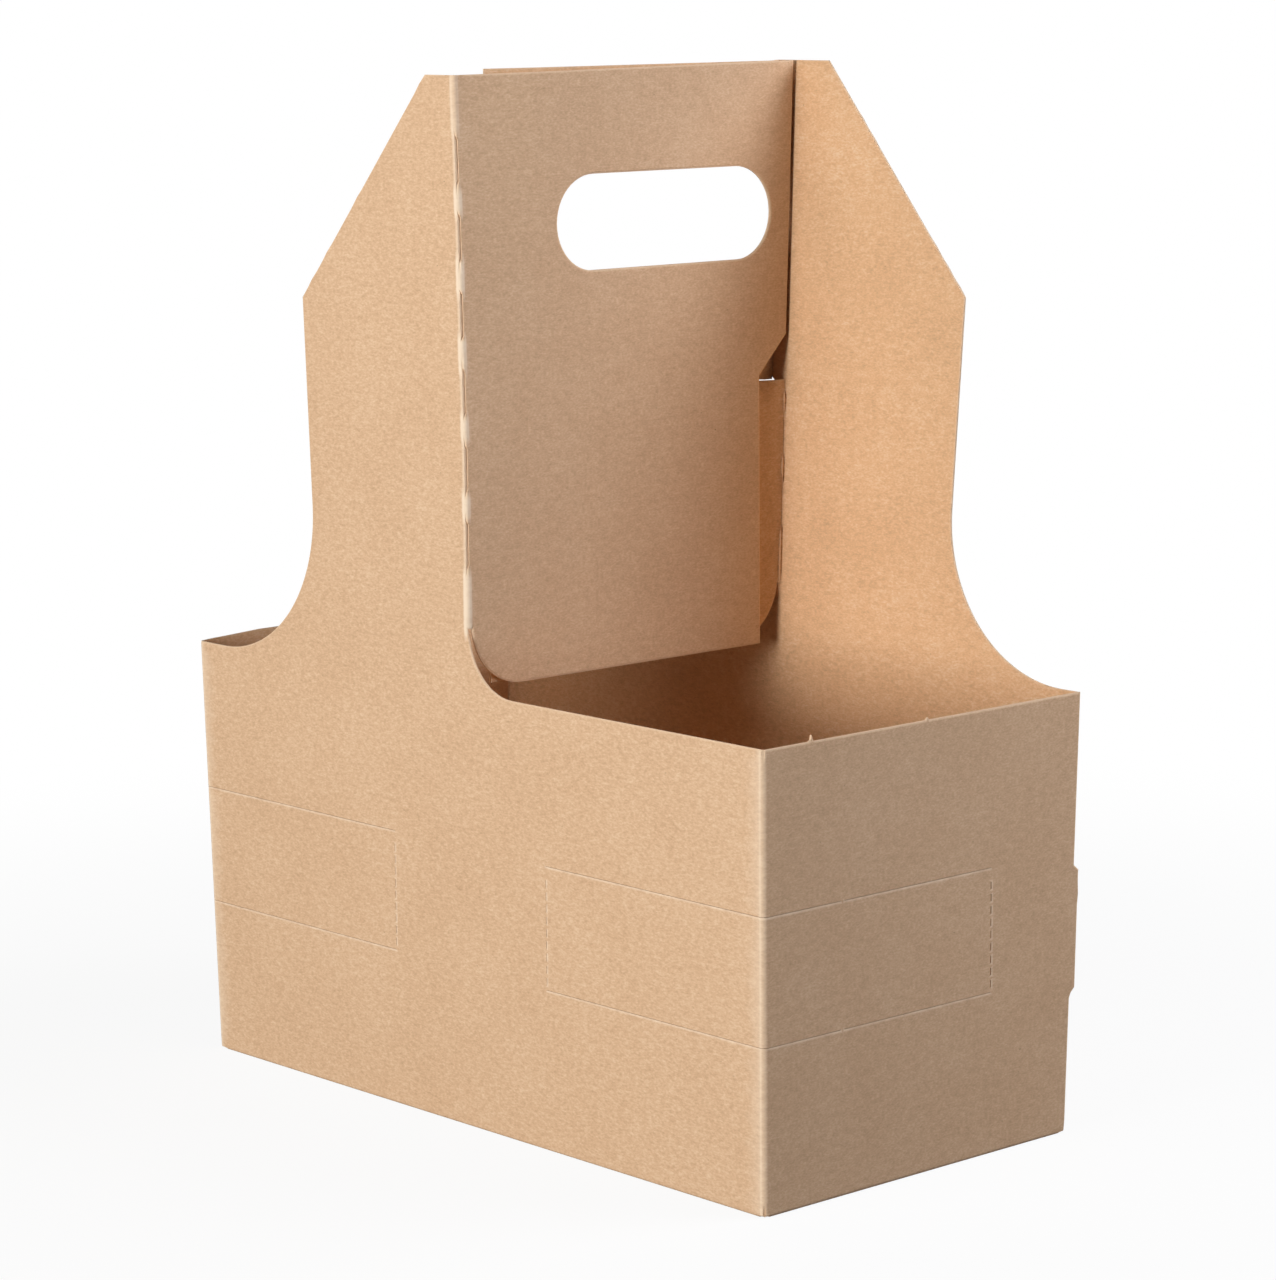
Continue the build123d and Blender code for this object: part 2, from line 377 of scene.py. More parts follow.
def backBlank():
    # Back wall, seen from inside the box: u is x. The divider panel lies on the low side of the fold.
    low, hook, side, start = -halfDepth, flaps["hook"], flaps["side"], flaps["hookStart"]
    seam, reach, taper = halfWidth - board, flaps["seamReach"], flaps["seamTaper"]
    outward = lambda y, z: -fold - (backAt(z) - y)
    top, foot, lap = blank["backTop"], panelFoot + board, riser["throatLap"]
    corners = [
        (leftAt(0), 0, 0), (-side, 0, 0), (-side, low + hook, 0), (start, low + hook, 0),
        (start + flaps["hookRun"], low - hook, 0), (side, low - hook, 0), (side, 0, 0),
        (seam, 0, 0), (seam, flaps["seamFoot"], 0), (seam + reach, taper, 0), (seam + reach, rim - taper, 0),
        (seam, rim - flaps["seamFoot"], 0), (seam, rim, 0),
        (riser["foot"], rim, riser["footRadius"]), (riser["shoulder"], riser["shoulderHeight"], 0),
        (riser["top"], top, 0), (-fold - foldBend, top, 0),
        (outward(divider["backReach"][1], top), top, 0), (outward(divider["backReach"][0], foot), foot, 0),
        (-fold - foldBend, foot, riser["throat"]), (-fold - foldBend, throatTop, 0),
        (-fold - lap, throatTop, 0), (-fold - lap, rim, riser["throat"]),
        (leftAt(rim) + blank["leftRiseRun"][1], rim, 0), (leftAt(rim), rim + blank["leftRise"], 0),
    ]
    cuts = foldCuts(-fold, -1, riser["backCuts"])
    # the cut that the slit runs into starts lower and becomes one opening with it
    gap, middle, end = divider["slitGap"] / 2, divider["slitHeight"], -fold - divider["slitEnd"]
    cuts[2][[0, 1, 5], 1] -= riser["backCuts"][2] - riser["slitCut"]
    tip, lower, upper, right, near, left = cuts[2]
    slit = [(lower[0], middle - gap), (end, middle - gap), (end, middle + gap), (upper[0], middle + gap)]
    cuts[2] = np.array([tip, lower, *slit, upper, right, near, left])
    height, (place, length) = divider["handHeight"], divider["handBack"]
    hand = [stadium(outward(place, height), height, length, divider["handWidth"])]
    seamSteps = [seam + step * bend for step in (-1, -0.5, 0, 0.5, 1)]
    creases = columnsAt(leftAt, 0, rim, 1)
    creases += [np.array([(u, 5.5), (u, rim - 5.5)]) for u in seamSteps]
    creases += rowsAt(-side, side) + foldColumns(-fold, throatTop - 3, top, -1)
    creases += [np.array([(-fold - past, middle + 1), (-fold - past, top)]) for past in divider["fineColumns"]]
    return rounded(corners), cuts + hand, creases


def endFoot():
    # The two end walls' base flap, from the front corner to the back one
    depth, root, tip, corner = flaps["endDepth"], flaps["endRoot"], flaps["endTip"], flaps["endCorner"]
    return [(-halfDepth, 0, 0), (-root, 0, 0), (-tip, -depth, corner), (tip, -depth, corner), (root, 0, 0)]


def endLips():
    # The end walls' half of the corner bands, with an uncut nick in each slit
    nick, gap, end = band["nick"] - halfDepth, band["nickWidth"] / 2, band["reach"] - halfDepth
    lips = slits(-halfDepth - 1, nick - gap, band["slitSide"]) + slits(nick + gap, end, band["slitSide"])
    return lips + dashLine(end, band["dashSide"])


def rightBlank():
    # u is y, from the front corner to the cut edge that lies on the back wall
    tab = [(backAt(31.2), 31.2, 0), (backAt(31.2) + 0.5, 32.4, 0), (backAt(31.2) + 1.8, 33.6, 0)]
    tab += [(backAt(62) + 1.5, 60.8, 0), (backAt(62), 62.0, 0)]
    fibres = [(2.7, rim, 0), (2.2, rim + 0.6, 0), (1.5, rim, 0), (-32.4, rim, 0), (-32.8, rim + 0.4, 0)]
    fibres += [(-33.2, rim + 1.4, 0), (-33.5, rim + 0.3, 0), (-34.1, rim, 0)]
    corners = endFoot() + [(backAt(0), 0, 0)] + tab + [(backAt(rim), rim, 0)] + fibres + [(-halfDepth, rim, 0)]
    lips = endLips()
    creases = columnsAt(lambda z: -halfDepth, 0, rim, 1) + rowsAt(-flaps["endRoot"], flaps["endRoot"])
    return rounded(corners), lips, creases + halos(lips)


def leftBlank():
    # u is y, from the front corner to the back corner
    high = rim + blank["leftRise"]
    corners = endFoot() + [(backAt(0), 0, 0), (backAt(rim), high, 0)]
    corners += [(-halfDepth + blank["leftRiseRun"][0], high, 0), (-halfDepth, rim, 0)]
    lips = endLips()
    creases = columnsAt(lambda z: -halfDepth, 0, rim, 1) + columnsAt(backAt, 0, rim, -1)
    creases += rowsAt(-flaps["endRoot"], flaps["endRoot"])
    return rounded(corners), lips, creases + halos(lips)


def tongueBlank(side):
    # A lock tongue glued over the line where the hooked flaps meet
    u, v, corner = side * flaps["tonguePlace"], -side * flaps["hook"], flaps["tongueCorner"]
    wide, deep = flaps["tongueHalf"]
    corners = [(u - wide, v - deep), (u + wide, v - deep), (u + wide, v + deep), (u - wide, v + deep)]
    return rounded([(*place, corner) for place in corners]), [], []


def footProfile(v, w, lift=0.0):
    # Inset from the wall's outer face and height, for a point v up the wall and w into the board:
    # straight above the foot crease, a quarter turn through it, and level below it
    angle = np.clip((baseBend - v) / (2 * baseBend), 0, 1) * pi / 2
    inset = baseBend - (baseBend - w) * np.cos(angle) + np.maximum(-v - baseBend, 0)
    height = baseBend - (baseBend - w) * np.sin(angle) + np.maximum(v - baseBend, 0)
    return inset, height + lift * smooth(baseBend, flaps["rise"], -v)


def cornerTurn(gap, inset):
    # Along and across shift near a box corner: an eighth turn of the crease radius on each side of it
    angle = np.clip(1 - gap / bend, 0, 1) * pi / 4
    radius = np.maximum(bend - inset, 0)
    along = np.where(gap < bend, radius * np.sin(angle) - (bend - np.maximum(gap, 0)), 0)
    across = np.where(gap < bend, bend - radius * np.cos(angle) - inset, 0)
    return along, across


def foldTurn(reach, w, share, bendRadius):
    # Bend of a panel about an upright crease of the given radius: reach is the board's length past the start of
    # the bend, w the depth in the board, share how far the fold is closed. Gives the place along and into the wall.
    share = np.maximum(share, 1e-3)
    angle = share * np.clip(reach / (2 * bendRadius), 0, 1) * pi / 2
    radius = (1 - (1 - pi / 4) * share) * 2 * bendRadius / (share * pi / 2)
    along = (radius - w) * np.sin(angle)
    into = radius * (1 - np.cos(angle)) + w * np.cos(angle)
    past = np.maximum(reach - 2 * bendRadius, 0)
    return along + past * np.cos(angle), into + past * np.sin(angle)


def alongCuts(v, starts):
    # 1 for heights within a cut, 0 for those of the bridges between cuts
    within, ease = np.zeros(len(v)), riser["cutEase"]
    for start in starts:
        past, left = v - start, start + riser["cutLength"] - v
        within = np.maximum(within, smooth(*ease, past) * smooth(*ease, left))
    return within


def foldPanel(reach, w, share, starts, v):
    # The same bend with its cuts: beside a cut both boards stay flat up to it, so the wall's edge stands free
    along, into = foldTurn(reach, w, share, foldBend)
    past = reach - foldBend
    wall = past < wallSide
    flatAlong, flatInto = np.where(wall, reach, foldBend - w), np.where(wall, w, past)
    cut = alongCuts(v, starts) * (np.abs(past) < foldBend * 1.6)
    return along + (flatAlong - along) * cut, into + (flatInto - into) * cut


def throatLine(past, radius):
    # Height of the wall's cut edge past the fold: a quarter circle down to the rim
    return rim + radius - np.sqrt(np.maximum(radius ** 2 - np.clip(radius - past, 0, radius) ** 2, 0))


def leanAt(y, v):
    # How far the front fold leans to the left: more towards its top, fading out behind the fold
    rise = sum(share * smooth(low, high, v) for share, low, high in riser["leanRuns"])
    return riser["lean"] * rise * (1 - smooth(-halfDepth, riser["leanEnd"], y))


def foldFront(flat, w):
    # Front wall: level below the foot's quarter turn, an eighth turn at each corner, and past the fold the panel
    # runs square into the box
    u, v = flat.T
    inset, z = footProfile(v, w)
    x, y = u.copy(), -halfDepth + inset
    along, across = cornerTurn(halfWidth - u, inset)
    x, y = x + along, y + across
    along, across = cornerTurn(u - leftAt(np.maximum(v, 0)), inset)
    x, y = x - along, y + across
    cutLine = throatLine(u - fold, riser["throat"])
    share = np.where((u > fold) & (v > cutLine + 0.3), 1.0, smooth(throatTop - 4, throatTop, v))
    turned = (u > fold - foldBend) & (v > throatTop - 4)
    turned |= (u > fold + 0.01) & (v > cutLine + 0.3)
    along, into = foldPanel(u - (fold - foldBend), w, share, creaseCuts["front"], v)
    x = np.where(turned, fold - foldBend + along, x)
    y = np.where(turned, -halfDepth + into, y)
    return np.stack([x - leanAt(y, v) * smooth(fold - 12, fold, u), y, z], 1)


def foldBack(flat, w):
    # Back wall: as the front one, on a plane that leans out, with the divider panel folded towards the front and
    # pushed aside above its slit, and the seam's flap folded forwards
    u, v = flat.T
    inset, z = footProfile(v, w)
    x, y = u.copy(), backAt(v) - inset
    y = np.where(v < 0, halfDepth - inset, y)
    along, across = cornerTurn(u - leftAt(np.maximum(v, 0)), inset)
    x, y = x - along, y - across
    lap = riser["throatLap"] + 0.2
    panel = (-u - fold > lap) & (v > throatLine(-u - fold - lap, riser["throat"]) + 1.0)
    share = np.where(panel, 1.0, smooth(throatTop - 4, throatTop, v))
    turned = (-u > fold - foldBend) & (v > throatTop - 4) | panel
    along, into = foldPanel(-u - (fold - foldBend), w, share, creaseCuts["back"], v)
    x = np.where(turned, -(fold - foldBend) - along, x)
    y = np.where(turned, backAt(v) - into, y)
    # set back: a step at the slit that eases out beyond its end, fading over the panel, sooner beside the hand hole
    past, slit, rise = -u - fold, divider["slitHeight"], setBack["rise"]
    beyond = smooth(setBack["start"], divider["slitEnd"], past)
    step = np.where(v > slit, 1.0, 0.0)
    panelStep = step * (1 - beyond) + smooth(slit - rise, slit + rise, v) * beyond
    begun, done = setBack["wall"]
    above = np.where(past < wallSide, smooth(slit - begun, slit - done, v), panelStep)
    nearer = smooth(*setBack["hole"], v)
    low, high = [far + (near - far) * nearer for far, near in zip(*setBack["fade"])]
    fade = 1 - smooth(low, high, past)
    atFold = np.clip((past + foldBend) / (foldBend - 0.25), 0, 1)
    x = x - setBack["by"] * above * atFold * fade * turned
    # the wall's throat reaches a little further under the divider's rounded corner
    reach = np.maximum(past, 0) * (1 - turned)
    under = riser["throatReach"] * reach * np.exp(-reach / riser["throatRun"])
    x = x - under * smooth(rim - riser["throatRun"], rim, v) * smooth(*riser["throatEnd"], throatTop - v)
    z = z - setBack["droop"] * (past > wallSide) * step * (1 - beyond) * (1 - smooth(slit, slit + rise, v))
    x = x - leanAt(y, v) * panel
    seam = halfWidth - board
    flap = (u > seam - bend) & (v > 0)
    share = smooth(5, 8, v) * smooth(5, 8, rim - v)
    along, into = foldTurn(u - (seam - bend), w, np.where(u > seam, 1.0, share), bend)
    x = np.where(flap, seam - bend + along, x)
    y = np.where(flap, backAt(v) - into, y)
    return np.stack([x, y, z], 1)


def foldRight(flat, w):
    # Right wall: upright, with its base flap one board up
    u, v = flat.T
    inset, z = footProfile(v, w, board)
    x, y = halfWidth - inset, u.copy()
    along, across = cornerTurn(u + halfDepth, inset)
    return np.stack([x - across, y - along, z], 1)


def foldLeft(flat, w):
    # Left wall: leans out, turned at the front and at the back corner
    u, v = flat.T
    inset, z = footProfile(v, w, board)
    x, y = leftAt(np.maximum(v, 0)) + inset, u.copy()
    along, across = cornerTurn(u + halfDepth, inset)
    x, y = x + across, y - along
    along, across = cornerTurn(backAt(np.maximum(v, 0)) - u, inset)
    return np.stack([x + across, y + along, z], 1)


def foldTongue(flat, w):
    # The lock tongues lie level on the base, one board up
    return np.stack([flat[:, 0], flat[:, 1], board + w + 0 * flat[:, 0]], 1)


def lipHighlightMask(flat, holes):
    # Painted highlight: 1 on the lower or right side of a slit, where the light falls on it, falling to 0 at its halo
    # line
    mask = np.zeros(len(flat))
    for hole in holes:
        low, high = hole.min(0), hole.max(0)
        if (high - low).min() > narrow:
            continue
        gap = np.maximum(np.maximum(low - flat, flat - high), 0).max(1)
        wide = high[0] - low[0] > high[1] - low[1]
        lit = flat[:, 1] < low[1] + tiny if wide else flat[:, 0] > high[0] - tiny
        mask = np.maximum(mask, (1 - np.clip(gap / band["halo"], 0, 1)) * lit)
    return mask


def onSlit(flat, holes):
    # 1 for the points of the narrow slits
    mask = np.zeros(len(flat))
    for hole in holes:
        low, high = hole.min(0), hole.max(0)
        if (high - low).min() < narrow:
            mask[((flat > low - tiny) & (flat < high + tiny)).all(1)] = 1
    return mask


def creaseMask(u, centre, half, span):
    # 1 inside a crease, fading out beside it
    return 1 - smooth(half, half + span, np.abs(u - centre))


panels = {
    "front": (frontBlank(), foldFront),
    "back": (backBlank(), foldBack),
    "right": (rightBlank(), foldRight),
    "left": (leftBlank(), foldLeft),
    "tongueRight": (tongueBlank(1), foldTongue),
    "tongueLeft": (tongueBlank(-1), foldTongue),
}


def nearCut(flat, tris, name):
    # 1 for the points on a cut edge of a panel, 0 for the others; the four upright corners are not cut
    edges = np.sort(np.concatenate([tris[:, [0, 1]], tris[:, [1, 2]], tris[:, [2, 0]]]), 1)
    kinds, uses = np.unique(edges, axis=0, return_counts=True)
    mask = np.zeros(len(flat))
    mask[kinds[uses == 1]] = 1
    u, v = flat.T
    none = 999 + 0 * v
    low, high = {
        "front": (leftAt(v), halfWidth), "back": (leftAt(v), none),
        "right": (-halfDepth, none), "left": (-halfDepth, backAt(v)),
    }.get(name, (none, none))
    corner = (np.abs(u - low) < tiny) | (np.abs(u - high) < tiny)
    mask[corner & (v > -tiny) & (v < rim + tiny)] = 0
    mask[corner & (np.abs(v - rim) < tiny)] = 1
    if name in ("front", "back"):
        # the far side of each cut along the fold stays crisp
        mask[(np.abs(np.abs(u) - fold - riser["cutTo"]) < 0.4) & (v > throatTop)] = 0
    return mask


def pastFold(u, name):
    return (u if name == "front" else -u) - fold


def foldBead(flat, name, middle, half):
    # A bell curve across an upright crease, on the bridges between its cuts only
    if name not in ("front", "back"):
        return 0.0
    u, v = flat.T
    bridge = (1 - alongCuts(v, creaseCuts[name])) * smooth(throatTop, throatTop + 2, v)
    return np.exp(-(((pastFold(u, name) - middle) / half) ** 2)) * bridge


def foldHighlight(flat, name):
    # Painted highlight where the light catches the rounded folds: the bridges of the upright folds and a line beside
    # them, less so beside the cuts and above the last one, and the box corners with a second line beside the crease
    u, v = flat.T
    wall = (v > 0) & (v < rim + tiny)
    mask = np.zeros(len(flat))
    if name in ("front", "back"):
        past, along = pastFold(u, name), alongCuts(v, creaseCuts[name])
        low = 1 - smooth(226, 229, v)
        bridge = (0.6 + 0.65 * low) * creaseMask(past, 0.1, 1.1, 0.4) + 0.35 * creaseMask(past, -0.9, 0.2, 0.5)
        beside = 0.7 * smooth(-1.3, -0.7, past) * (past < wallSide)
        mask = (bridge * (1 - along) + beside * along) * (v > throatTop - 2)
    if name == "front":
        for gap in (halfWidth - u, u - leftAt(v)):
            corner = 0.5 * creaseMask(gap, 0, 1.1, 0.4) + 0.45 * creaseMask(gap, 1.3, 0.2, 0.5)
            mask = np.maximum(mask, wall * corner)
    if name in ("left", "right"):
        mask = 0.5 * wall * creaseMask(u, -halfDepth, 0.3, 0.9)
    return mask


def foldBoard():
    # One board: the outer and the inner skin of every panel, welded at the corners, with walls along all cut edges
    outer, inner, faces, crease, lip, worn, count = [], [], [], [], [], [], 0
    for name, ((outline, holes, creases), folder) in panels.items():
        flat, tris = cutPanel(outline, holes, creases)
        edge = nearCut(flat, tris, name) * (1 - onSlit(flat, holes))
        bulge = riser["bulge"] * foldBead(flat, name, 0.3, 0.8)
        bead = riser["bead"] * foldBead(flat, name, 0.0, 0.5)
        outer.append(folder(flat, blank["edgeBevel"] * edge - bulge))
        inner.append(folder(flat, board - blank["innerBevel"] * blank["edgeBevel"] * edge + bead))
        worn.append(edge)
        faces.append(tris + count)
        count += len(flat)
        # painted highlight beside the slits, on the side that the light falls on
        lip.append(lipHighlightMask(flat, holes) * band["lipFront" if name == "front" else "lipSide"])
        # painted highlight on the rounded folds and the box corners
        crease.append(foldHighlight(flat, name))
        print("cut", name, len(flat), "points", len(tris), "triangles")
    outer, inner, faces = np.concatenate(outer), np.concatenate(inner), np.concatenate(faces)
    crease, lip, worn = np.concatenate(crease), np.concatenate(lip), np.concatenate(worn)
    first, place = np.unique(np.round(outer, 3), axis=0, return_index=True, return_inverse=True)[1:]
    outer, inner, crease, lip, worn = outer[first], inner[first], crease[first], lip[first], worn[first]
    faces = place.ravel()[faces]
    faces = faces[(faces[:, 0] != faces[:, 1]) & (faces[:, 1] != faces[:, 2]) & (faces[:, 0] != faces[:, 2])]
    used, faces = np.unique(faces, return_inverse=True)
    return outer[used], inner[used], faces.reshape(-1, 3), crease[used], lip[used], worn[used]


def facedOut(outer, inner, faces):
    # Turns every triangle of the outer skin so that it faces away from the inner skin
    a, b, c = outer[faces].transpose(1, 0, 2)
    normal = np.cross(b - a, c - a)
    away = (outer[faces] - inner[faces]).mean(1)
    wrong = (normal * away).sum(1) < 0
    faces[wrong] = faces[wrong][:, ::-1]
    return faces


outer, inner, faces, crease, lip, worn = foldBoard()
faces = facedOut(outer, inner, faces)
edges = np.concatenate([faces[:, [0, 1]], faces[:, [1, 2]], faces[:, [2, 0]]])
ordered = np.sort(edges, 1)
which, uses = np.unique(ordered, axis=0, return_inverse=True, return_counts=True)[1:]
cutEdges = edges[uses[which.ravel()] == 1]
print("board", len(outer), "points", len(faces), "triangles", len(cutEdges), "cut edges")

count = len(outer)
points = np.concatenate([outer, inner]) * 0.001
start, stop = cutEdges.T
polygons = faces.tolist() + (faces[:, ::-1] + count).tolist()
polygons += np.stack([stop, start, start + count, stop + count], 1).tolist()
carrierMesh = bpy.data.meshes.new("carrierBoard")
carrierMesh.from_pydata(points.tolist(), [], polygons)
carrierMesh.polygons.foreach_set("material_index", np.repeat([0, 1, 2], [len(faces), len(faces), len(cutEdges)]))
# each mark, and how much of it the inner skin shows: the painted highlight on the folds and corners, the painted
# highlight beside the slits, and the pale cut edges
for label, values, within in (("crease", crease, 0.0), ("lip", lip, 0.3), ("worn", worn, 0.6)):
    layer = carrierMesh.attributes.new(label, "FLOAT", "POINT")
    layer.data.foreach_set("value", np.concatenate([values, values * within]).astype(np.float32))
carrierMesh.shade_smooth()
carrierMesh.set_sharp_from_angle(angle=radians(blank["sharp"]))
carrierMesh.update()
carrier = bpy.data.objects.new("carrierBoard", carrierMesh)
bpy.context.scene.collection.objects.link(carrier)


class Value:
    # A number socket that can be used in sums
    def __init__(self, kit, socket):
        self.kit, self.socket = kit, socket

    def pair(self, how, first, second):
        return self.kit.value("ShaderNodeMath", {"operation": how}, {0: first, 1: second})

    def __add__(self, other):
        return self.pair("ADD", self, other)

    __radd__ = __add__

    def __mul__(self, other):
        return self.pair("MULTIPLY", self, other)

    __rmul__ = __mul__

    def __sub__(self, other):
        return self.pair("SUBTRACT", self, other)

    def __rsub__(self, other):
        return self.pair("SUBTRACT", other, self)


class Finish:
    # The nodes of one material, or of the world, and the short ways to add to them
    def __init__(self, owner, end="ShaderNodeOutputMaterial"):
        owner.use_nodes = True
        self.tree = owner.node_tree
        self.tree.nodes.clear()
        self.end = self.tree.nodes.new(end)

    def node(self, kind, settings=None, inputs=None):
        made = self.tree.nodes.new(kind)
        for key, setting in (settings or {}).items():
            if key == "stops":
                ramp = made.color_ramp
                while len(ramp.elements) < len(setting):
                    ramp.elements.new(1.0)
                for element, (at, colour) in zip(ramp.elements, setting):
                    element.position, element.color = at, (*colour, 1)
            else:
                setattr(made, key, setting)
        for key, given in (inputs or {}).items():
            target = made.inputs[key]
            source = given.socket if isinstance(given, Value) else given
            if isinstance(source, bpy.types.NodeSocket):
                self.tree.links.new(source, target)
            else:
                target.default_value = source
        return made

    def value(self, kind, settings=None, inputs=None, output=0):
        return Value(self, self.node(kind, settings, inputs).outputs[output])

    def place(self, scale):
        where = self.node("ShaderNodeTexCoord").outputs["Object"]
        return self.node("ShaderNodeMapping", None, {"Vector": where, "Scale": scale}).outputs[0]

    def noise(self, where, scale, detail, rough):
        inputs = {"Vector": where, "Scale": scale, "Detail": detail, "Roughness": rough}
        return self.value("ShaderNodeTexNoise", None, inputs)

    def mix(self, share, first, second, blend="MIX"):
        made = self.node("ShaderNodeMix", {"data_type": "RGBA", "blend_type": blend}, {0: share, 6: first, 7: second})
        return made.outputs[2]

    def shader(self, kind, inputs):
        made = self.node(kind, None, inputs)
        self.tree.links.new(made.outputs[0], self.end.inputs["Surface"])

    def seen(self):
        # 1 where a place is looked at, also in a reflection or through glass, and 0 where it only gives light
        rays = self.node("ShaderNodeLightPath").outputs
        camera, glossy, through = [
            Value(self, rays[kind]) for kind in ("Is Camera Ray", "Is Glossy Ray", "Is Transmission Ray")
        ]
        return camera.pair("MAXIMUM", camera, camera.pair("MAXIMUM", glossy, through))


kraft = {
    "outside": (0.730, 0.485, 0.300, 1),
    "inside": (0.765, 0.475, 0.265, 1),
    "edge": (0.880, 0.680, 0.480, 1),
    "pale": (0.880, 0.655, 0.445, 1),
    # colour of the painted highlight on the folds and the box corners
    "creased": (0.950, 0.770, 0.580, 1),
    "dark": (0.560, 0.350, 0.205, 1),
    "fleck": (0.300, 0.170, 0.090, 1),
    # colour of the painted highlight beside the slits
    "slitHighlight": (1.0, 0.800, 0.600, 1),
    "flow": (1, 1, 2.2),  # the fibres lie along the walls
    "cloud": (42.0, 3.0, 0.55),  # scale, detail and roughness of each noise
    "mottle": (420.0, 2.0, 0.55),
    "fibre": (1250.0, 2.0, 0.6),
    "speck": (700.0, 1.0, 0.4),
    "edgeGrain": (900.0, 2.0, 0.6),
    "clouds": (0.6, 1.0),  # strength on the outside and on the inside
    "mottles": 1.3,
    "fibres": 2.1,
    "specks": (0.80, 0.86),  # noise between which a fleck comes up
    "speckShare": 0.6,
    "creaseHighlightShare": (0.6, 0.45),  # what the mottle adds to a mark, and its least share
    "slitHighlightShare": (1.6, 0.1),
    "wornShare": 0.75,
    "roughness": 0.82,
    "edgeRoughness": 0.9,
    "gloss": 0.15,
    "bump": 0.10,
    "bumpDepth": 0.0004,
}


def kraftFinish(name, colour, clouds, withMarks):
    # Fibres: stretched noise along the walls, over soft clouds, with fine grain and a few dark flecks
    material = bpy.data.materials.new(name)
    finish = Finish(material)
    level, flow = finish.place((1, 1, 1)), finish.place(kraft["flow"])
    cloud = finish.noise(level, *kraft["cloud"])
    mottle = finish.noise(flow, *kraft["mottle"])
    fibre = finish.noise(flow, *kraft["fibre"])
    tone = (cloud - 0.5) * clouds + (mottle - 0.5) * kraft["mottles"] + (fibre - 0.5) * kraft["fibres"]
    light = finish.value("ShaderNodeClamp", None, {"Value": tone, "Min": 0.0, "Max": 1.0})
    shade = finish.value("ShaderNodeClamp", None, {"Value": tone * -1.0, "Min": 0.0, "Max": 1.0})
    base = finish.mix(light, colour, kraft["pale"])
    base = finish.mix(shade, base, kraft["dark"])
    speck = finish.noise(flow, *kraft["speck"])
    limits = {"From Min": kraft["specks"][0], "From Max": kraft["specks"][1]}
    speck = finish.value("ShaderNodeMapRange", None, {"Value": speck, **limits})
    base = finish.mix(speck * kraft["speckShare"], base, kraft["fleck"])
    if withMarks:
        # mask of the painted highlight on the folds and corners, and below it the pale cut edges
        worn = finish.value("ShaderNodeAttribute", {"attribute_name": "crease"}, None, "Fac")
        slitHighlight = finish.value("ShaderNodeAttribute", {"attribute_name": "lip"}, None, "Fac")
        (more, least), (moreSlitHighlight, leastSlitHighlight) = kraft["creaseHighlightShare"], kraft["slitHighlightShare"]
        # painted highlight on the bridges of the upright folds and on the box corners
        base = finish.mix(worn * (mottle * more + least), base, kraft["creased"])
        # painted highlight beside the slits
        base = finish.mix(slitHighlight * (mottle * moreSlitHighlight + leastSlitHighlight), base, kraft["slitHighlight"])
    edge = finish.value("ShaderNodeAttribute", {"attribute_name": "worn"}, None, "Fac")
    base = finish.mix(edge * kraft["wornShare"], base, kraft["pale"])
    height = mottle * 0.5 + fibre * 0.5
    relief = {"Strength": kraft["bump"], "Distance": kraft["bumpDepth"], "Height": height}
    bump = finish.node("ShaderNodeBump", None, relief)
    inputs = {"Base Color": base, "Roughness": kraft["roughness"], "Normal": bump.outputs[0]}
    finish.shader("ShaderNodeBsdfPrincipled", {**inputs, "Specular IOR Level": kraft["gloss"]})
    return material


def edgeFinish():
    # Cut edge: pale pressed layers across the board's thickness
    material = bpy.data.materials.new("cutEdge")
    finish = Finish(material)
    grain = finish.noise(finish.place((1, 1, 1)), *kraft["edgeGrain"])
    inputs = {"Base Color": finish.mix(grain, kraft["edge"], kraft["outside"]), "Roughness": kraft["edgeRoughness"]}
    finish.shader("ShaderNodeBsdfPrincipled", {**inputs, "Specular IOR Level": kraft["gloss"]})
    return material


carrierMesh.materials.append(kraftFinish("kraftOutside", kraft["outside"], kraft["clouds"][0], True))
carrierMesh.materials.append(kraftFinish("kraftInside", kraft["inside"], kraft["clouds"][1], False))
carrierMesh.materials.append(edgeFinish())
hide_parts("carrier")
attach(carrier, "root")
print("board finished")

warm, cool = (1.0, 0.985, 0.965), (0.98, 0.99, 1.06)
studio = {
    "floorSize": 6.0,
    "floorSeen": (0.90, 0.90, 0.90, 1),
    "floorColour": (0.18, 0.18, 0.18, 1),
    "floorGlow": 0.92,
    "floorClear": (0.16, 0.45),
    "world": 0.004,
    "aim": (0, 0, 0.12),
}
# Square lamps, all aimed at the carrier: the first three light the front wall, the others come from over the back
lamps = {
    "key": {"at": (0.113, -1.292, 0.211), "size": 0.35, "power": 10.18, "colour": warm},
    "side": {"at": (-0.045, -1.298, 0.165), "size": 0.5, "power": 2.76, "colour": warm},
    "lift": {"at": (0.0, -0.573, 0.522), "size": 0.4, "power": 1.01, "colour": warm},
    "fill": {"at": (1.107, 0.403, 0.669), "size": 0.5, "power": 1.8, "colour": cool},
    "rise": {"at": (0.549, 0.399, 0.544), "size": 0.4, "power": 1.27, "colour": cool},
    "over": {"at": (0.421, 0.502, 0.579), "size": 0.4, "power": 2.23, "colour": cool},
    "near": {"at": (0.325, 0.273, 0.544), "size": 0.3, "power": 0.53, "colour": cool},
}


def addPlane(name, size):
    half = size / 2
    mesh = bpy.data.meshes.new(name)
    mesh.from_pydata([(-half, -half, 0), (half, -half, 0), (half, half, 0), (-half, half, 0)], [], [(0, 1, 2, 3)])
    made = bpy.data.objects.new(name, mesh)
    bpy.context.scene.collection.objects.link(made)
    return made


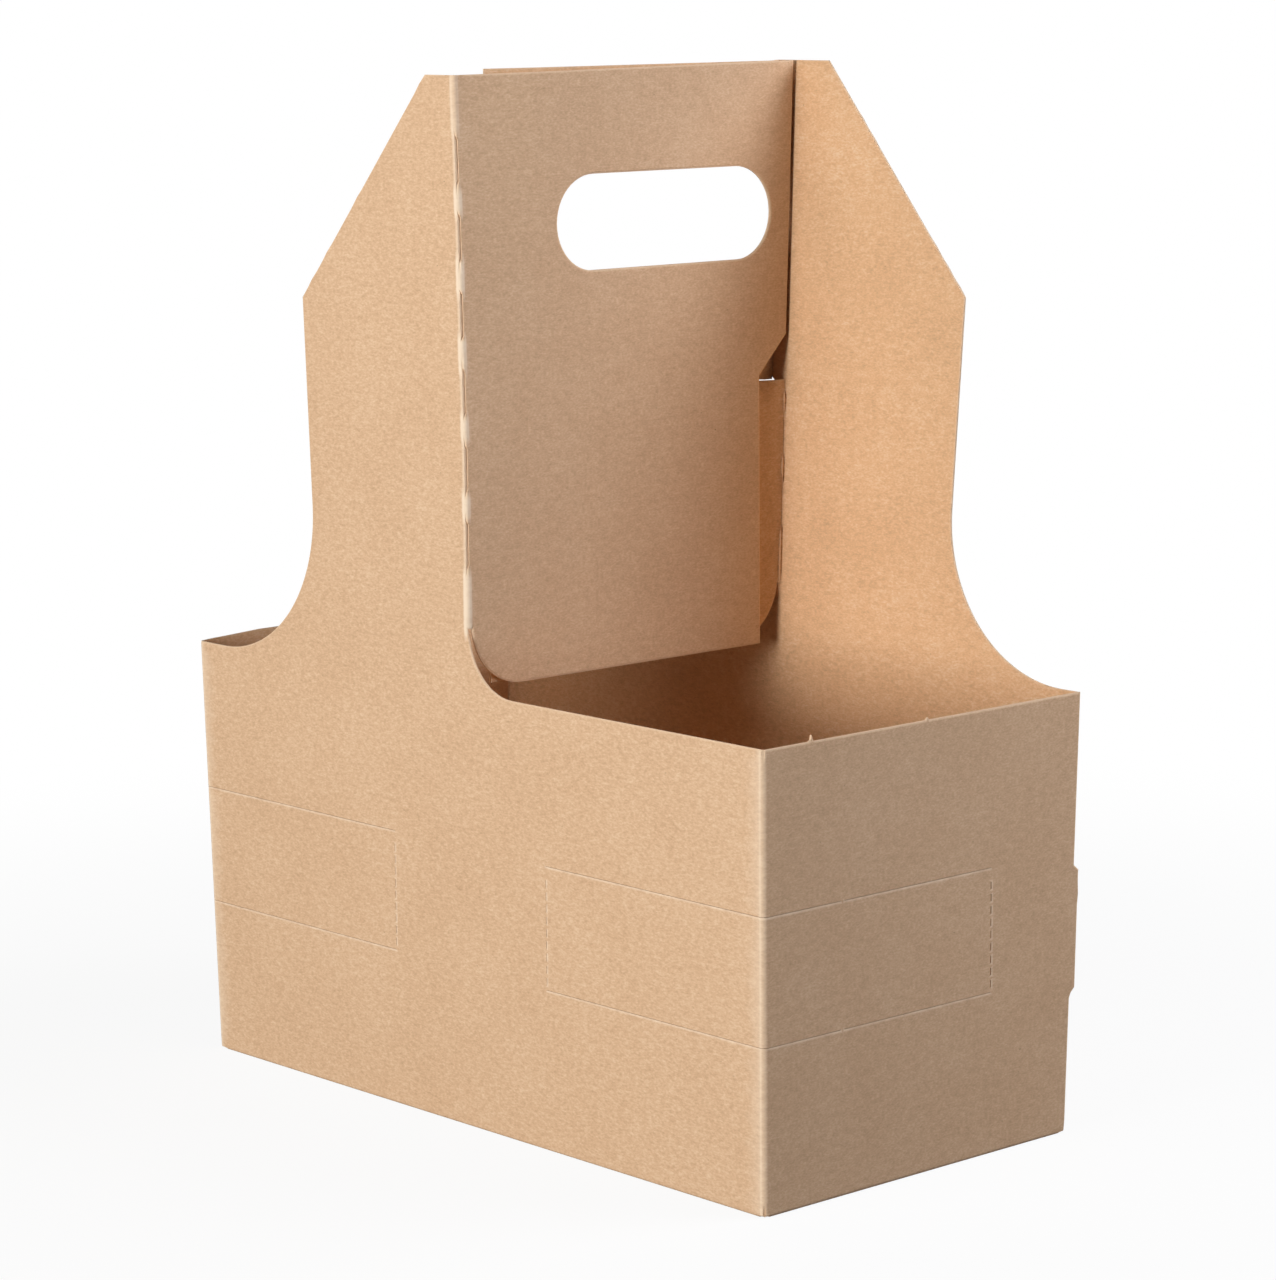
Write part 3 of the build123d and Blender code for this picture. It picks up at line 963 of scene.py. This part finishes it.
floor = addPlane("floor", studio["floorSize"])
paleFloor = bpy.data.materials.new("paleFloor")
floorFinish = Finish(paleFloor)
seen = floorFinish.seen()
tint = floorFinish.mix(seen, studio["floorColour"], studio["floorSeen"])
diffuse = floorFinish.node("ShaderNodeBsdfDiffuse", None, {"Color": tint})
glow = floorFinish.node("ShaderNodeEmission", None, {"Color": (1, 1, 1, 1), "Strength": 1.0})
where = floorFinish.node("ShaderNodeTexCoord").outputs["Object"]
away = floorFinish.value("ShaderNodeVectorMath", {"operation": "LENGTH"}, {0: where}, "Value")
clear = {"Value": away, "From Min": studio["floorClear"][0], "From Max": studio["floorClear"][1]}
far = floorFinish.value("ShaderNodeMapRange", {"interpolation_type": "SMOOTHSTEP"}, clear)
# looked at, the floor is mostly plain white, wholly so further out; it keeps the carrier's shadow near it
share = seen * (studio["floorGlow"] + far * (1 - studio["floorGlow"]))
floorFinish.shader("ShaderNodeMixShader", {0: share, 1: diffuse.outputs[0], 2: glow.outputs[0]})
floor.data.materials.append(paleFloor)

world = bpy.data.worlds.new("studio")
bpy.context.scene.world = world
sky = Finish(world, "ShaderNodeOutputWorld")
plain = sky.node("ShaderNodeBackground", None, {"Color": (1, 1, 1, 1), "Strength": studio["world"]})
white = sky.node("ShaderNodeBackground", None, {"Color": (1, 1, 1, 1), "Strength": 1.0})
sky.shader("ShaderNodeMixShader", {0: sky.seen(), 1: plain.outputs[0], 2: white.outputs[0]})


def aimed(at, aim):
    # Turn that points an object's -z axis from one place to another
    at, aim = np.array(at, float), np.array(aim, float)
    back = (at - aim) / np.linalg.norm(at - aim)
    right = np.cross((0, 0, 1), back)
    right /= np.linalg.norm(right)
    up = np.cross(back, right)
    turn = np.eye(4)
    turn[:3, 0], turn[:3, 1], turn[:3, 2], turn[:3, 3] = right, up, back, at
    return Matrix(turn.tolist())


for name, settings in lamps.items():
    lamp = bpy.data.lights.new(name, "AREA")
    lamp.shape = "SQUARE"
    lamp.size, lamp.energy, lamp.color = settings["size"], settings["power"], settings["colour"]
    holder = bpy.data.objects.new(name, lamp)
    bpy.context.scene.collection.objects.link(holder)
    holder.matrix_world = aimed(settings["at"], studio["aim"])

view = {
    "at": (0.6988, -0.6266, 0.2631),
    "azimuth": radians(47.891),
    "elevation": radians(9.376),
    "roll": radians(-0.468),
    "lens": 114.5,
    "sensor": 36.0,
}


def placeCamera():
    # Axes from azimuth and downward elevation, then a small roll about the line of sight
    az, el, roll = view["azimuth"], view["elevation"], view["roll"]
    right = np.array((cos(az), sin(az), 0))
    ahead = np.array((-sin(az) * cos(el), cos(az) * cos(el), -sin(el)))
    up = np.cross(right, ahead)
    right, up = right * cos(roll) + up * sin(roll), up * cos(roll) - right * sin(roll)
    turn = np.eye(4)
    turn[:3, 0], turn[:3, 1], turn[:3, 2], turn[:3, 3] = right, up, -ahead, view["at"]
    lens = bpy.data.cameras.new("camera")
    lens.lens = view["lens"]
    lens.sensor_width = view["sensor"]
    lens.sensor_fit = "AUTO"
    lens.clip_start = 0.01
    made = bpy.data.objects.new("camera", lens)
    bpy.context.scene.collection.objects.link(made)
    made.matrix_world = Matrix(turn.tolist())
    bpy.context.scene.camera = made


placeCamera()
bpy.context.scene.view_settings.view_transform = "Standard"
print("studio ready")
